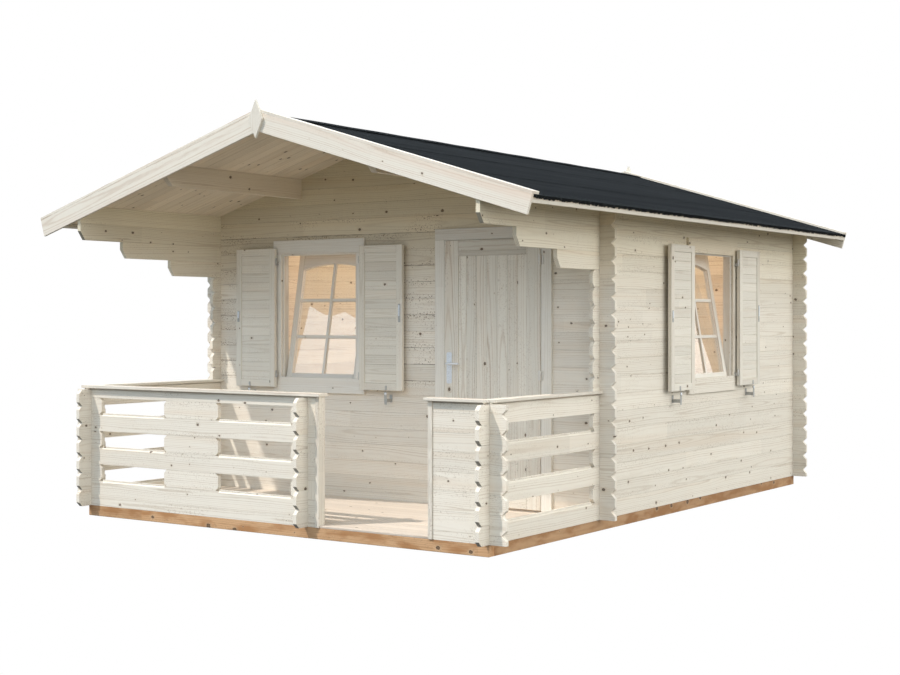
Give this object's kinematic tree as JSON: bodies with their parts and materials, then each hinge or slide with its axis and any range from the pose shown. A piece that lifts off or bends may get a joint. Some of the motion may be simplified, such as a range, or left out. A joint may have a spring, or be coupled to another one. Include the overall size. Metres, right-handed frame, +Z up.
{
  "type": "log cabin",
  "caption": "Garden log cabin with a gabled felt roof, a railed front porch on stepped corbels, a planked door, tilted windows and hinged shutters.",
  "frame": {"origin": "ground level under the middle of the roof", "axes": "+Z up, -Y out of the porch front, +X to the right as seen from the front"},
  "size_m": [4.01, 4.981, 2.7168],
  "materials": {
    "base": "rough sawn, treated",
    "floor": "planed",
    "log": "planed",
    "roof_wood": "planed",
    "felt": "mineral-faced, matt",
    "trim": "planed",
    "door": "planed",
    "shutter": "planed",
    "steel": "galvanised, satin",
    "glass": "clear"
  },
  "bodies": {
    "cabin": {"base_end_beams": "base", "base_side_beams": "base", "floor_joists": "base", "room_floor": "floor", "porch_floor": "floor", "door_threshold": "floor", "left_wall_logs": "log", "right_wall_logs": "log", "front_wall_logs": "log", "back_wall_logs": "log", "front_gable_logs": "log", "back_gable_logs": "log", "front_rail_left_logs": "log", "front_rail_right_logs": "log", "rail_blocks": "log", "rail_brace_logs": "log", "rail_end_boards": "log", "purlins": "roof_wood", "left_roof_boards": "roof_wood", "right_roof_boards": "roof_wood", "left_roof_felt": "felt", "right_roof_felt": "felt", "handrails": "trim", "eaves_laths": "trim", "front_bargeboards": "trim", "back_bargeboards": "trim", "barge_battens": "trim", "finials": "trim", "door_frame": "trim", "door_trim": "trim", "window_frames": "trim", "window_trims": "trim", "window_sashes": "trim", "door_hinge_plates": "steel", "shutter_pintles": "steel", "shutter_catches": "steel", "window_glass": "glass"},
    "door": {"door_leaf": "door", "door_hinges": "steel", "door_handle_plate": "steel"},
    "lever": {"door_lever": "steel"},
    "front_left_leaf": {"front_left_shutter": "shutter"},
    "front_right_leaf": {"front_right_shutter": "shutter"},
    "side_front_leaf": {"side_front_shutter": "shutter"},
    "side_rear_leaf": {"side_rear_shutter": "shutter"}
  },
  "joints": [
    {"name": "door_hinge", "type": "hinge", "parent": "cabin", "child": "door", "pos_m": [1.2225, -1.0905, 0.1], "axis": [0, 0, 1], "range_deg": [0, 105]},
    {"name": "lever_turn", "type": "hinge", "parent": "door", "child": "lever", "pos_m": [0.499, -1.0855, 1.05], "axis": [0, 1, 0], "range_deg": [0, 40], "stiffness_Nm_per_rad": 1.2, "springref_deg": -17.19},
    {"name": "front_left_shutter_hinge", "type": "hinge", "parent": "cabin", "child": "front_left_leaf", "pos_m": [-1.025, -1.107, 0.853], "axis": [0, 0, 1], "range_deg": [0, 180]},
    {"name": "front_right_shutter_hinge", "type": "hinge", "parent": "cabin", "child": "front_right_leaf", "pos_m": [-0.255, -1.107, 0.853], "axis": [0, 0, -1], "range_deg": [0, 180]},
    {"name": "side_front_shutter_hinge", "type": "hinge", "parent": "cabin", "child": "side_front_leaf", "pos_m": [1.6915, 0.2355, 0.853], "axis": [0, 0, 1], "range_deg": [0, 180]},
    {"name": "side_rear_shutter_hinge", "type": "hinge", "parent": "cabin", "child": "side_rear_leaf", "pos_m": [1.6915, 1.0055, 0.853], "axis": [0, 0, -1], "range_deg": [0, 180]}
  ]
}
